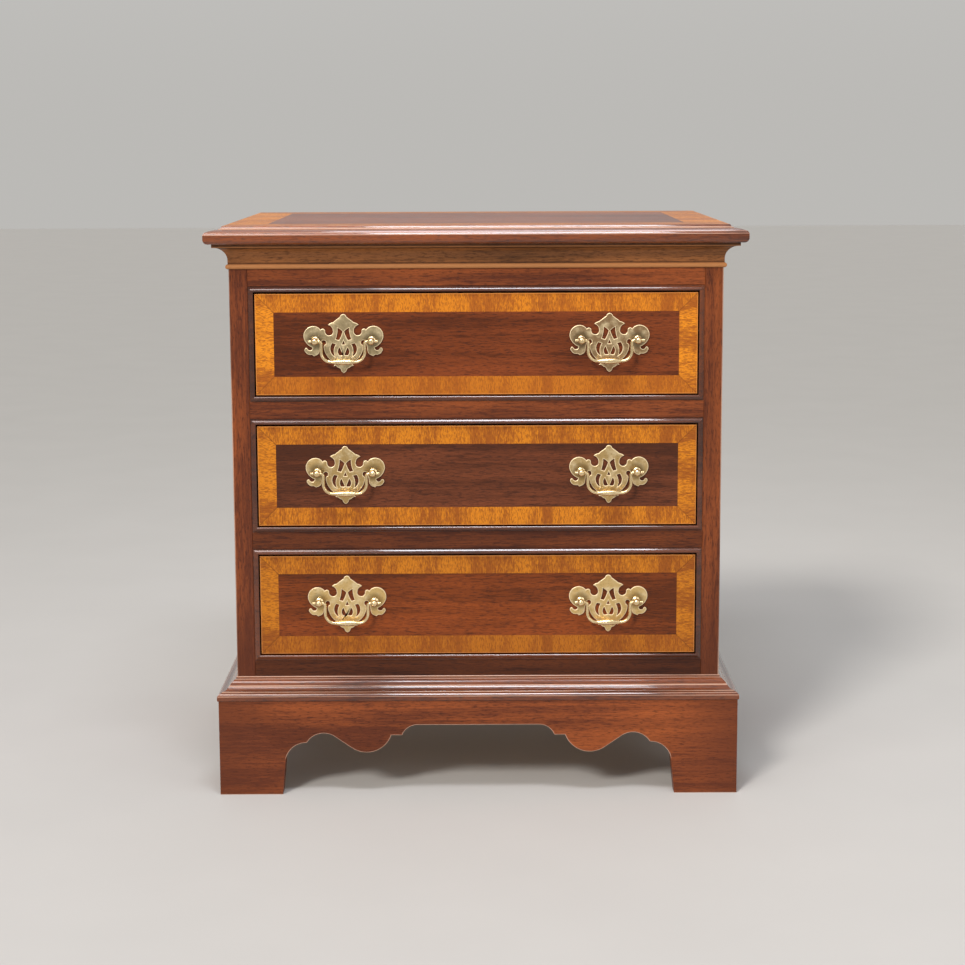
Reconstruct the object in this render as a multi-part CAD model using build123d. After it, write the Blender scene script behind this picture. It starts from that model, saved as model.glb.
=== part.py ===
from build123d import *
import os
from math import acos, atan2, cos, hypot, sin, sqrt

# A bedside chest: three banded drawers in a face frame, a moulded top and a scrolled bracket base.
# Millimetres. +Z is up, the front faces -Y, the origin is on the floor under the middle of the top.

# Case
case_width = 556.0
case_depth = 380.0
side_thickness = 18.0
stile_width = 21.0
frame_thickness = 20.0
bottom_rail_height = 43.2
divider_rail_height = 20.0
top_rail_height = 48.3
stile_arris = 1.0
frame_arris = 0.8
tenon_length = 12.0
tenon_thickness = 8.0
tenon_shoulder = 4.0
joint_gap = 0.15
back_thickness = 5.0
back_rebate = 9.0
bottom_board_thickness = 16.0

# Drawer openings and the cock beads round them
drawer_names = ("lower", "middle", "upper")
opening_height = 118.5
bead_width = 6.0
bead_projection = 2.6
bead_nose_width = 1.6
bead_nose_height = 1.2
bead_nose_bow = 0.1
bead_shoulder = 0.5
bead_slope_bow = 0.2
quirk_width = 1.1
quirk_depth = 0.6

# Runners, guides and dust panels behind the face frame
runner_width = 30.0
runner_height = 24.0
guide_height = 22.0
guide_gap = 0.5
runner_gap = 0.3
dust_panel_thickness = 4.0
panel_groove = 6.0
cleat_thickness = 20.0
stop_height = 12.0
stop_length = 23.7
stop_gap = 0.3

# Top: a banded panel with a twice stepped thumbnail edge over an upright lip
top_thickness = 20.0
top_overhang = 25.0
top_back_overhang = 5.0
top_edge_width = 20.0
top_band_width = 46.0
band_thickness = 1.0
band_arris = 0.5
step_width = 2.2
step_drop = 3.0
ledge_width = 2.2
ledge_drop = 0.7
thumb_bow = 0.5
lip_rise = 13.2
arris_height = 2.5
arris_width = 1.7
nose_radius = 5.6

# Cornice under the top: fillet, quarter cove and astragal
cornice_height = 28.5
cornice_fillet = 3.7
cornice_projection = 16.6
cove_radius = 15.0
cove_offset = 0.7
astragal_height = 5.5
astragal_bow = 2.2
astragal_base = 0.9

# Base moulding: lip, ledge, cove, rib and ovolo, with a broad arris on the lip and on the rib
base_moulding_height = 24.5
base_lip_projection = 21.5
base_lip_round = 1.4
base_lip_height = 5.8
base_lip_arris_width = 2.2
base_lip_arris_height = 2.5
base_ledge_inner = 16.2
base_ledge_top = 9.4
base_ledge_step = 0.9
base_cove_inner = 10.7
base_cove_top = 12.8
base_cove_bow = 0.9
base_rib_arris_width = 1.7
base_rib_arris_height = 1.9
base_rib_flat = 0.8
base_quirk = 0.5
base_ovolo_inner = 2.6
base_ovolo_top = 21.4
base_ovolo_bow = 0.6
base_fillet = 1.2

# Bracket base; the scroll is measured inwards from a foot's outer corner and up from the floor
bracket_height = 111.0
bracket_projection = 20.0
bracket_thickness = 22.0
toe_width = 72.0
spring_point = (75.5, 38.0)
ankle_cusp = (100.5, 61.5)
arch_crest = (120.0, 72.7)
lobe_tip = (169.5, 49.8)
lobe_cusp = (198.0, 70.2)
step_end = (210.5, 70.2)
crown_start = (228.0, 82.3)
side_crown_start = (124.0, 82.3)
rear_foot_width = 95.0
rear_foot_toe = 48.0
rear_foot_crown = 82.0
rear_foot_thickness = 18.0
glue_block_width = 36.0
glue_block_lift = 2.0

# Drawers
drawer_side_gap = 1.25
drawer_bottom_gap = 1.3
drawer_top_gap = 2.2
drawer_inset = 1.0
front_thickness = 20.0
front_band_width = 21.0
drawer_side_thickness = 12.0
drawer_side_height = 98.0
drawer_back_thickness = 12.0
drawer_back_setback = 8.0
drawer_back_drop = 6.0
drawer_bottom_thickness = 5.0
drawer_bottom_lift = 10.0
groove_depth = 5.0
tail_count = 3
tail_length = 14.0
tail_base = 17.0
tail_tip = 22.0

# Pulls: a pierced plate, two turned posts and a swinging bail
pull_offset = 150.0
pull_lift = 4.6
post_spacing = 63.5
plate_thickness = 1.8
shank_radius = 2.0
shank_gap = 0.1
collar_radius = 4.4
collar_thickness = 1.2
neck_radius = 2.5
ball_radius = 4.3
pivot_standoff = 12.0
nut_width = 8.0
nut_thickness = 4.0
shank_tail = 2.0
wire_radius = 1.8
pin_gap = 0.06
pin_tail = 3.0
bail_arm_inset = 7.25
bail_elbow_radius = 3.0
bail_drop = 23.2
bail_corner_radius = 11.0
grip_shoulder = 0.5
grip_radius = 3.3

# Right half of a plate, from its foot round to its tip: x from the pull's middle, y up from the post line.
# A third number bows that stretch to the left of travel. The wing is measured from its post.
plate_body = (
    (0, -36.7),
    (3.2, -33.8, -0.5),
    (4.6, -31.5, 0.3),
    (6.6, -30.8),
    (11.6, -28.2, 0.6),
    (9.4, -25.4, 0.5),
    (22.4, -7.4, -3.0),
    (19.9, -4.0, -0.7),
    (19.8, -1.6),
)
plate_wing = (
    (-7.0, -1.6, 2.0),
    (-4.8, -11.8, 0.5),
    (-0.4, -16.8, -1.0),
    (2.0, -17.7),
    (4.6, -16.0, 0.4),
    (11.5, -12.6, -1.3),
    (10.3, -8.0, -1.4),
    (9.0, -8.8),
    (3.3, -7.8, 2.7),
    (12.1, 0.3, -1.2),
    (4.0, 16.4, -4.5),
    (-6.2, 12.3, -1.6),
    (-11.2, 10.3, -2.2),
)
plate_crest = (
    (12.0, 11.8, 5.2),
    (13.4, 15.3, 0.4),
    (17.4, 17.8, 0.4),
    (12.2, 20.6, -0.5),
    (10.8, 21.6, 0.2),
    (4.6, 26.2),
    (3.6, 27.4, 0.2),
    (0, 30.0, -0.7),
)
slanted_slot = ((5.1, 0.3), (8.7, 1.5), (6.3, 14.4, 0.6), (0.9, 10.2, -0.4), (5.1, 0.3, -0.4))
crescent = ((8.8, -4.2), (12.6, -3.0), (10.0, -18.0, 3.6), (8.8, -4.2, -1.7))
petal = ((4.4, -7.8), (4.9, -16.6, 1.7), (0.9, -16.2, 0.4), (4.4, -7.8))
peak = ((0, -4.6), (1.8, -4.5), (0, 0))
plate_piercings = (slanted_slot, crescent, petal, peak)

# Places worked out from the sizes above
half_case = case_width / 2
half_inside = half_case - side_thickness
half_frame = half_case - stile_width
top_depth = case_depth + top_overhang + top_back_overhang
front_y = top_overhang - top_depth / 2
frame_back_y = front_y + frame_thickness
back_y = front_y + case_depth
inside_back_y = back_y - back_thickness
opening_pitch = opening_height + divider_rail_height + 2 * bead_width
first_opening_z = bracket_height + bottom_rail_height + bead_width
opening_zs = [first_opening_z + level * opening_pitch for level in range(len(drawer_names))]
case_top = opening_zs[-1] + opening_height + bead_width + top_rail_height
top_z = case_top + top_thickness
half_top_flat = half_case + top_overhang - top_edge_width
top_flat_front_y = front_y - top_overhang + top_edge_width
half_drawer = half_frame - bead_width - drawer_side_gap
drawer_height = opening_height - drawer_bottom_gap - drawer_top_gap
face_y = front_y + drawer_inset
front_back_y = face_y + front_thickness
drawer_end_y = inside_back_y - stop_length - stop_gap
runner_edge_x = half_inside - runner_width
groove_z = -bead_width - divider_rail_height / 2
post_x = post_spacing / 2
quarter_bow = 1 - sqrt(0.5)  # of a quarter circle with a radius of 1


def block(x_span, y_span, z_span):
    """Box that fills a (low, high) span along each axis."""
    spans = (x_span, y_span, z_span)
    middle = [(low + high) / 2 for low, high in spans]
    return Pos(*middle) * Box(*[high - low for low, high in spans])


def outline(start, *steps):
    """Closed face; a step is (x, y) for a line, or (x, y, bow) for an arc bowed to the left of travel.

    A line closes it, unless the last step comes back to the start.
    """
    edges = []
    here = start
    closing = () if steps[-1][:2] == start else (start,)
    for x, y, *bow in steps + closing:
        if bow:
            edges.append(SagittaArc(here, (x, y), bow[0]))
        else:
            edges.append(Line(here, (x, y)))
        here = (x, y)
    return make_face(edges)


def solids_of(*shapes):
    """One node of separate solids."""
    return Compound(children=[solid for shape in shapes for solid in shape.solids()])


def both_sides(shape):
    """A piece of the right-hand side and its mirror image on the left."""
    return solids_of(mirror(shape, about=Plane.YZ), shape)


def at_openings(shape, heights):
    """One node with the shape at each of the openings' heights."""
    return solids_of(*[Pos(0, 0, opening_z) * shape for opening_z in heights])


def crest_radius(crest, point):
    """Radius of the circle whose highest or lowest point is the crest and that passes through the point."""
    run = point[0] - crest[0]
    rise = point[1] - crest[1]
    return (run ** 2 + rise ** 2) / (2 * abs(rise))


def bow_of(radius, start, end):
    """Height of an arc of that radius over the chord from start to end."""
    half_chord = hypot(end[0] - start[0], end[1] - start[1]) / 2
    return radius - sqrt(radius ** 2 - half_chord ** 2)


def crossing_tangent(centre_a, radius_a, centre_b, radius_b):
    """Ends of the line that touches the top of circle a and then the bottom of circle b."""
    run = centre_b[0] - centre_a[0]
    rise = centre_b[1] - centre_a[1]
    angle = atan2(rise, run) + acos((radius_a + radius_b) / hypot(run, rise))
    way = (cos(angle), sin(angle))
    touch_a = (centre_a[0] + radius_a * way[0], centre_a[1] + radius_a * way[1])
    touch_b = (centre_b[0] - radius_b * way[0], centre_b[1] - radius_b * way[1])
    return touch_a, touch_b


def mitre(side):
    """Upright plane at 45 degrees through a front corner of the case, facing the case's side."""
    return Plane((side * half_case, front_y, 0), z_dir=(side, 1, 0))


def moulding_runs(profile, rear_y):
    """Front, left and right lengths of a moulding, mitred at the front corners.

    The profile has x outwards from the case and y up from the floor.
    """
    projection = profile.bounding_box().max.X
    reach = half_case + 2 * projection
    end = Plane((reach, front_y, 0), x_dir=(0, -1, 0), z_dir=(-1, 0, 0))
    front = extrude(end * profile, amount=2 * reach)
    for side in (-1, 1):
        front = split(front, bisect_by=mitre(side), keep=Keep.BOTTOM)
    rear = Plane((half_case, rear_y, 0), x_dir=(1, 0, 0), z_dir=(0, -1, 0))
    right = extrude(rear * profile, amount=rear_y - front_y + 2 * projection)
    right = split(right, bisect_by=mitre(1), keep=Keep.TOP)
    return front, mirror(right, about=Plane.YZ), right


def mitred_frame(profile, half_width, half_height):
    """Four mitred strips round a rectangle in the XZ plane: top, bottom, left and right.

    The profile has x inwards from the rectangle's edge and y towards the front.
    """
    corner = (half_width, 0, half_height)
    far_corner = (-half_width, 0, half_height)
    low_corner = (half_width, 0, -half_height)
    upper_mitre = Plane(corner, z_dir=(1, 0, -1))
    upper_end = Plane(corner, x_dir=(0, 0, -1), z_dir=(-1, 0, 0))
    upper = extrude(upper_end * profile, amount=2 * half_width)
    upper = split(upper, bisect_by=upper_mitre, keep=Keep.BOTTOM)
    upper = split(upper, bisect_by=Plane(far_corner, z_dir=(-1, 0, -1)), keep=Keep.BOTTOM)
    right_end = Plane(low_corner, x_dir=(-1, 0, 0), z_dir=(0, 0, 1))
    right = extrude(right_end * profile, amount=2 * half_height)
    right = split(right, bisect_by=upper_mitre, keep=Keep.TOP)
    right = split(right, bisect_by=Plane(low_corner, z_dir=(1, 0, 1)), keep=Keep.TOP)
    return upper, mirror(upper, about=Plane.XY), mirror(right, about=Plane.YZ), right


def banding(half_width, half_height, width):
    """Crossbanding strips with an eased outer arris; their back lies on y = 0."""
    profile = outline(
        (0, 0),
        (width, 0),
        (width, band_thickness),
        (band_arris, band_thickness),
        (0, band_thickness - band_arris),
    )
    return solids_of(*mitred_frame(profile, half_width, half_height))


def rail_spans():
    """Heights of the rails, from the bottom rail to the top rail."""
    spans = [(bracket_height, bracket_height + bottom_rail_height)]
    for opening_z in opening_zs[1:]:
        rail_top = opening_z - bead_width
        spans.append((rail_top - divider_rail_height, rail_top))
    spans.append((case_top - top_rail_height, case_top))
    return spans


def tenon_span(span, play):
    """Height of a rail's tenon, or of its mortise with play."""
    return span[0] + tenon_shoulder - play, span[1] - tenon_shoulder + play


def tenon_depth(play):
    """Front and rear cheeks of a tenon, or of its mortise with play."""
    middle = front_y + frame_thickness / 2
    return middle - tenon_thickness / 2 - play, middle + tenon_thickness / 2 + play


def rail(span, eased, grooved):
    """Rail of the face frame with stub tenons, and a groove for the dust panel where it divides drawers.

    Eased are its front arrises beside beads: 0 for the lower one, 1 for the upper one.
    """
    board = block((-half_frame, half_frame), (front_y, frame_back_y), span)
    front_arrises = board.edges().filter_by(Axis.X).sort_by(Axis.Y)[:2].sort_by(Axis.Z)
    board = chamfer([front_arrises[index] for index in eased], frame_arris)
    reach = half_frame + tenon_length
    board += block((-reach, reach), tenon_depth(0), tenon_span(span, 0))
    if grooved:
        middle = (span[0] + span[1]) / 2
        half_groove = dust_panel_thickness / 2 + joint_gap
        board -= block(
            (-half_frame, half_frame),
            (frame_back_y - panel_groove, frame_back_y),
            (middle - half_groove, middle + half_groove),
        )
    return board


def right_stile():
    """Stile with eased front arrises, the inner one beside the beads, and a mortise for each rail."""
    section = outline(
        (half_frame, frame_back_y),
        (half_frame, front_y + frame_arris),
        (half_frame + frame_arris, front_y),
        (half_case - stile_arris, front_y),
        (half_case, front_y + stile_arris),
        (half_case, frame_back_y),
    )
    stile = Pos(0, 0, bracket_height) * extrude(section, amount=case_top - bracket_height)
    for span in rail_spans():
        mortise_x = (half_frame, half_frame + tenon_length + joint_gap)
        stile -= block(mortise_x, tenon_depth(joint_gap), tenon_span(span, joint_gap))
    return stile


def right_side_panel():
    """Side board behind the stile, rebated for the back."""
    board = block((half_inside, half_case), (frame_back_y, back_y), (bracket_height, case_top))
    rebate_x = (half_inside, half_inside + back_rebate + joint_gap)
    return board - block(rebate_x, (inside_back_y, back_y), (bracket_height, case_top))


def back_panel():
    half_width = half_inside + back_rebate
    return block((-half_width, half_width), (inside_back_y, back_y), (bracket_height, case_top))


def opening_bead():
    """Cock bead round an opening, its opening's foot at z = 0: four mitred strips that slope up to a nose."""
    profile = outline(
        (0, -frame_thickness),
        (bead_width, -frame_thickness),
        (bead_width, bead_projection - bead_nose_height),
        (bead_width - bead_nose_width, bead_projection, -bead_nose_bow),
        (quirk_width, bead_shoulder, -bead_slope_bow),
        (quirk_width, -quirk_depth),
        (0, -quirk_depth),
    )
    half_height = opening_height / 2 + bead_width
    strips = mitred_frame(profile, half_frame, half_height)
    return Pos(0, front_y, opening_height / 2) * solids_of(*strips)


def runner_pair():
    """Rebated runners with their drawer guides; the drawer rides on z = 0."""
    half_groove = dust_panel_thickness / 2 + joint_gap
    guide_x = half_drawer + guide_gap
    groove_x = runner_edge_x + panel_groove
    section = outline(
        (runner_edge_x, -runner_height),
        (half_inside, -runner_height),
        (half_inside, guide_height),
        (guide_x, guide_height),
        (guide_x, 0),
        (runner_edge_x, 0),
        (runner_edge_x, groove_z + half_groove),
        (groove_x, groove_z + half_groove),
        (groove_x, groove_z - half_groove),
        (runner_edge_x, groove_z - half_groove),
    )
    rear = Plane((0, inside_back_y, 0), x_dir=(1, 0, 0), z_dir=(0, -1, 0))
    return both_sides(extrude(rear * section, amount=inside_back_y - frame_back_y))


def stop_pair():
    """Blocks at the back of the runners that stop a drawer flush with the face frame."""
    stop_x = (runner_edge_x, half_drawer + guide_gap)
    return both_sides(block(stop_x, (drawer_end_y + stop_gap, inside_back_y), (0, stop_height)))


def dust_panel():
    """Thin panel in the grooves of two runners and a divider rail; its runners' top is at z = 0."""
    half_width = runner_edge_x + panel_groove - joint_gap
    front = frame_back_y - panel_groove + joint_gap
    half_thickness = dust_panel_thickness / 2
    return block(
        (-half_width, half_width),
        (front, inside_back_y),
        (groove_z - half_thickness, groove_z + half_thickness),
    )


def bottom_board():
    heights = (bracket_height, bracket_height + bottom_board_thickness)
    return block((-half_inside, half_inside), (frame_back_y, inside_back_y), heights)


def top_cleats():
    """Strips that hold the top to the sides and keep the upper drawer from tipping."""
    cleat_x = (half_inside - cleat_thickness, half_inside)
    heights = (opening_zs[-1] + opening_height, case_top)
    return both_sides(block(cleat_x, (frame_back_y, inside_back_y), heights))


def top_panel():
    """Core of the top, sunk round its edge for the crossbanding."""
    rear = top_depth / 2
    core_top = top_z - band_thickness
    core = block((-half_top_flat, half_top_flat), (top_flat_front_y, rear), (case_top, core_top))
    half_field = half_top_flat - top_band_width
    field_y = (top_flat_front_y + top_band_width, rear - top_band_width)
    return core + block((-half_field, half_field), field_y, (core_top, top_z))


def top_banding():
    half_depth = (top_depth / 2 - top_flat_front_y) / 2
    middle_y = (top_depth / 2 + top_flat_front_y) / 2
    return Pos(0, middle_y, top_z - band_thickness) * Rot(-90, 0, 0) * banding(
        half_top_flat, half_depth, top_band_width
    )


def top_edge_profile():
    """Two small steps at the flat, a thumbnail out to the lip's arris, and a round nose under the lip."""
    flat_x = top_overhang - top_edge_width
    step_x = flat_x + step_width
    ledge_x = step_x + ledge_width
    ledge_z = top_z - step_drop
    lip_z = case_top + lip_rise
    return outline(
        (flat_x, case_top),
        (top_overhang - nose_radius, case_top),
        (top_overhang, case_top + nose_radius, -quarter_bow * nose_radius),
        (top_overhang, lip_z - arris_height),
        (top_overhang - arris_width, lip_z),
        (ledge_x, ledge_z - ledge_drop, -thumb_bow),
        (ledge_x, ledge_z),
        (step_x, ledge_z),
        (step_x, top_z - arris_height),
        (step_x - arris_width, top_z),
        (flat_x, top_z),
    )


def cornice_profile():
    foot = case_top - cornice_height
    cove_top = case_top - cornice_fillet
    return outline(
        (0, foot),
        (astragal_base, foot),
        (astragal_base, foot + astragal_height, -astragal_bow),
        (cove_offset, foot + astragal_height),
        (cove_offset, cove_top - cove_radius),
        (cove_offset + cove_radius, cove_top, quarter_bow * cove_radius),
        (cornice_projection, cove_top),
        (cornice_projection, case_top),
        (0, case_top),
    )


def base_moulding_profile():
    foot = bracket_height
    top = bracket_height + base_moulding_height
    ledge_foot = foot + base_lip_height + base_lip_arris_height
    cove_foot = foot + base_ledge_top + base_ledge_step
    rib_x = base_cove_inner - base_rib_arris_width
    rib_top = foot + base_cove_top + base_rib_arris_height
    ovolo_x = rib_x - base_rib_flat
    ovolo_top = foot + base_ovolo_top
    return outline(
        (0, foot),
        (base_lip_projection - base_lip_round, foot),
        (base_lip_projection, foot + base_lip_round, -quarter_bow * base_lip_round),
        (base_lip_projection, foot + base_lip_height),
        (base_lip_projection - base_lip_arris_width, ledge_foot),
        (base_ledge_inner, foot + base_ledge_top),
        (base_ledge_inner, cove_foot),
        (base_cove_inner, foot + base_cove_top, base_cove_bow),
        (rib_x, rib_top),
        (ovolo_x, rib_top),
        (ovolo_x, rib_top + base_quirk),
        (base_ovolo_inner, ovolo_top, -base_ovolo_bow),
        (base_fillet, ovolo_top),
        (base_fillet, top - base_fillet / 2),
        (base_fillet / 2, top),
        (0, top),
    )


def foot_steps():
    """Inner edge of a foot, from the floor to the cusp at its ankle."""
    ankle_radius = (ankle_cusp[0] - spring_point[0] + ankle_cusp[1] - spring_point[1]) / 2
    return (toe_width, 0), spring_point, (*ankle_cusp, quarter_bow * ankle_radius)


def front_scroll():
    """Half of the front board: arch, hanging lobe and step, up to the straight crown in the middle."""
    half_length = half_case + bracket_projection
    arch_radius = crest_radius(arch_crest, ankle_cusp)
    lobe_radius = crest_radius(lobe_tip, lobe_cusp)
    arch_end, lobe_start = crossing_tangent(
        (arch_crest[0], arch_crest[1] - arch_radius),
        arch_radius,
        (lobe_tip[0], lobe_tip[1] + lobe_radius),
        lobe_radius,
    )
    crown_radius = crest_radius(crown_start, step_end)
    return outline(
        (0, bracket_height),
        (0, 0),
        *foot_steps(),
        (*arch_end, bow_of(arch_radius, ankle_cusp, arch_end)),
        lobe_start,
        (*lobe_cusp, -bow_of(lobe_radius, lobe_start, lobe_cusp)),
        step_end,
        (*crown_start, bow_of(crown_radius, step_end, crown_start)),
        (half_length, crown_start[1]),
        (half_length, bracket_height),
    )


def side_scroll(half_length):
    """Half of a side board: the same foot with a plain arch."""
    crown_radius = crest_radius(side_crown_start, ankle_cusp)
    return outline(
        (0, bracket_height),
        (0, 0),
        *foot_steps(),
        (*side_crown_start, bow_of(crown_radius, ankle_cusp, side_crown_start)),
        (half_length, side_crown_start[1]),
        (half_length, bracket_height),
    )


def whole_scroll(half, half_length):
    """Both halves of a scrolled board, centred on x = 0."""
    left = Pos(-half_length, 0) * half
    return left + mirror(left, about=Plane.YZ)


def front_bracket():
    half_length = half_case + bracket_projection
    face = Plane((0, front_y - bracket_projection, 0), x_dir=(-1, 0, 0), z_dir=(0, 1, 0))
    board = extrude(face * whole_scroll(front_scroll(), half_length), amount=bracket_thickness)
    for side in (-1, 1):
        board = split(board, bisect_by=mitre(side), keep=Keep.BOTTOM)
    return board


def right_bracket():
    half_length = (case_depth + bracket_projection) / 2
    middle_y = back_y - half_length
    inner_face_x = half_case + bracket_projection - bracket_thickness
    face = Plane((inner_face_x, middle_y, 0), x_dir=(0, 1, 0), z_dir=(1, 0, 0))
    board = extrude(face * whole_scroll(side_scroll(half_length), half_length), amount=bracket_thickness)
    return split(board, bisect_by=mitre(1), keep=Keep.TOP)


def rear_feet():
    """Plain cut brackets at the back, between the side boards."""
    outer_x = half_case + bracket_projection - bracket_thickness
    face = Plane((outer_x, back_y, 0), x_dir=(-1, 0, 0), z_dir=(0, 1, 0))
    crown = (rear_foot_width, rear_foot_crown)
    toe = (rear_foot_toe, 0)
    shape = outline(
        (0, bracket_height),
        (0, 0),
        toe,
        (*crown, quarter_bow * (crown[0] - toe[0])),
        (rear_foot_width, bracket_height),
    )
    return both_sides(extrude(face * shape, amount=-rear_foot_thickness))


def glue_blocks():
    """Blocks in the corners of the base that carry the case."""
    outer_x = half_case + bracket_projection - bracket_thickness
    block_x = (outer_x - glue_block_width, outer_x)
    heights = (glue_block_lift, bracket_height)
    front = front_y - bracket_projection + bracket_thickness
    rear = back_y - rear_foot_thickness
    return solids_of(
        both_sides(block(block_x, (front, front + glue_block_width), heights)),
        both_sides(block(block_x, (rear - glue_block_width, rear), heights)),
    )


def tails(play):
    """Half-blind dovetails at the right end of a drawer front, as tails or, with play, as their sockets."""
    pitch = drawer_side_height / tail_count
    inner_x = half_drawer - drawer_side_thickness - play
    cutter = Plane((inner_x, front_back_y, runner_gap), x_dir=(0, 1, 0), z_dir=(1, 0, 0))
    half_base = tail_base / 2 + play
    half_tip = tail_tip / 2 + play
    shape = outline(
        (0, -half_base),
        (0, half_base),
        (-tail_length - play, half_tip),
        (-tail_length - play, -half_tip),
    )
    rows = [Pos(0, (index + 0.5) * pitch) * shape for index in range(tail_count)]
    return [extrude(cutter * row, amount=half_drawer - inner_x) for row in rows]


def pull_centres():
    """Middle of each pull's post line on a drawer front."""
    height = drawer_bottom_gap + drawer_height / 2 + pull_lift
    return [(side * pull_offset, height) for side in (-1, 1)]


def post_centres():
    return [(x + side * post_x, z) for x, z in pull_centres() for side in (-1, 1)]


def bottom_groove_span():
    """Heights of the groove that holds a drawer's bottom."""
    low = runner_gap + drawer_bottom_lift
    return low - joint_gap, low + drawer_bottom_thickness + joint_gap


def drawer_front():
    """Front board sunk for its banding, with dovetail sockets, a bottom groove and bolt holes."""
    heights = (drawer_bottom_gap, drawer_bottom_gap + drawer_height)
    core_y = face_y + band_thickness
    board = block((-half_drawer, half_drawer), (core_y, front_back_y), heights)
    half_field = half_drawer - front_band_width
    field_z = (heights[0] + front_band_width, heights[1] - front_band_width)
    board += block((-half_field, half_field), (face_y, core_y), field_z)
    for socket in tails(joint_gap):
        board -= socket
        board -= mirror(socket, about=Plane.YZ)
    half_groove = half_drawer - drawer_side_thickness + groove_depth
    groove_y = (front_back_y - groove_depth, front_back_y)
    board -= block((-half_groove, half_groove), groove_y, bottom_groove_span())
    for x, z in post_centres():
        bolt_line = Plane((x, face_y, z), z_dir=(0, 1, 0))
        board -= extrude(bolt_line * Circle(shank_radius + shank_gap), amount=front_thickness)
    return board


def front_banding():
    strips = banding(half_drawer, drawer_height / 2, front_band_width)
    return Pos(0, face_y + band_thickness, drawer_bottom_gap + drawer_height / 2) * strips


def drawer_back_span():
    """Front and rear faces of a drawer's back."""
    rear = drawer_end_y - drawer_back_setback
    return rear - drawer_back_thickness, rear


def drawer_sides():
    """Sides with dovetails at the front, a groove for the bottom and a housing for the back."""
    inner_x = half_drawer - drawer_side_thickness
    heights = (runner_gap, runner_gap + drawer_side_height)
    board = block((inner_x, half_drawer), (front_back_y, drawer_end_y), heights)
    for tail in tails(0):
        board += tail
    groove_x = (inner_x, inner_x + groove_depth)
    groove_z_span = bottom_groove_span()
    board -= block(groove_x, (front_back_y - groove_depth, drawer_end_y), groove_z_span)
    back_span = drawer_back_span()
    housing_y = (back_span[0] - joint_gap, back_span[1] + joint_gap)
    board -= block(groove_x, housing_y, (groove_z_span[1], heights[1]))
    return both_sides(board)


def drawer_back():
    half_width = half_drawer - drawer_side_thickness + groove_depth - joint_gap
    high = runner_gap + drawer_side_height - drawer_back_drop
    return block((-half_width, half_width), drawer_back_span(), (bottom_groove_span()[1], high))


def drawer_bottom():
    half_width = half_drawer - drawer_side_thickness + groove_depth - joint_gap
    low = runner_gap + drawer_bottom_lift
    front = front_back_y - groove_depth + joint_gap
    return block((-half_width, half_width), (front, drawer_end_y), (low, low + drawer_bottom_thickness))


def plate_half():
    """Right half of a pull's plate: pendant, urn body, hooked wing, ear and finial, with its piercings."""
    wing = [(post_x + x, *rest) for x, *rest in plate_wing]
    shape = outline(*plate_body, *wing, *plate_crest)
    for piercing in plate_piercings:
        shape -= outline(*piercing)
    return shape - Pos(post_x, 0) * Circle(shank_radius + shank_gap)


def backplate():
    """Whole plate, its back on y = 0 and its post line on z = 0."""
    half = plate_half()
    face = Plane((0, 0, 0), x_dir=(1, 0, 0), z_dir=(0, -1, 0))
    return extrude(face * (half + mirror(half, about=Plane.YZ)), amount=plate_thickness)


def post():
    """Turned post with a cross-bored ball head and a shank through the drawer front, along -Y from y = 0."""
    ball_foot = (neck_radius, pivot_standoff - sqrt(ball_radius ** 2 - neck_radius ** 2))
    ball_top = (0, pivot_standoff + ball_radius)
    collar_top = plate_thickness + collar_thickness
    tail = -front_thickness - nut_thickness - shank_tail
    section = outline(
        (0, tail),
        (shank_radius, tail),
        (shank_radius, plate_thickness),
        (collar_radius, plate_thickness),
        (collar_radius, collar_top),
        (neck_radius, collar_top + collar_thickness),
        ball_foot,
        (*ball_top, -bow_of(ball_radius, ball_foot, ball_top)),
    )
    turned = mirror(revolve(section, axis=Axis.Y), about=Plane.XZ)
    bore = Rot(0, 90, 0) * Cylinder(wire_radius + pin_gap, 3 * ball_radius)
    bore = Pos(0, -pivot_standoff, 0) * bore
    return turned - bore


def nut():
    """Square nut behind the drawer front."""
    seat = Plane((0, front_thickness, 0), z_dir=(0, 1, 0))
    face = Rectangle(nut_width, nut_width) - Circle(shank_radius + shank_gap)
    return extrude(seat * face, amount=nut_thickness)


def pull_posts():
    """The four posts of a drawer with their nuts."""
    pieces = [Pos(x, face_y, z) * piece for x, z in post_centres() for piece in (post(), nut())]
    return solids_of(*pieces)


def bail():
    """Bent wire with a swelling grip; its pins lie on the x axis and it hangs down."""
    pin_end = post_x + ball_radius + pin_tail
    arm_x = post_x - bail_arm_inset
    grip_end = arm_x - bail_corner_radius - grip_shoulder
    path = FilletPolyline(
        (pin_end, 0, 0),
        (arm_x, 0, 0),
        (arm_x, 0, -bail_drop),
        (grip_end, 0, -bail_drop),
        radius=[bail_elbow_radius, bail_corner_radius],
    )
    section = Plane(path @ 0, z_dir=path % 0) * Circle(wire_radius)
    arm = sweep(section, path=path)
    swell = outline(
        (-grip_end, 0),
        (grip_end, 0),
        (grip_end, wire_radius),
        (-grip_end, wire_radius, wire_radius - grip_radius),
    )
    grip = Pos(0, 0, -bail_drop) * revolve(swell, axis=Axis.X)
    return grip + arm + mirror(arm, about=Plane.YZ)


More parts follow.
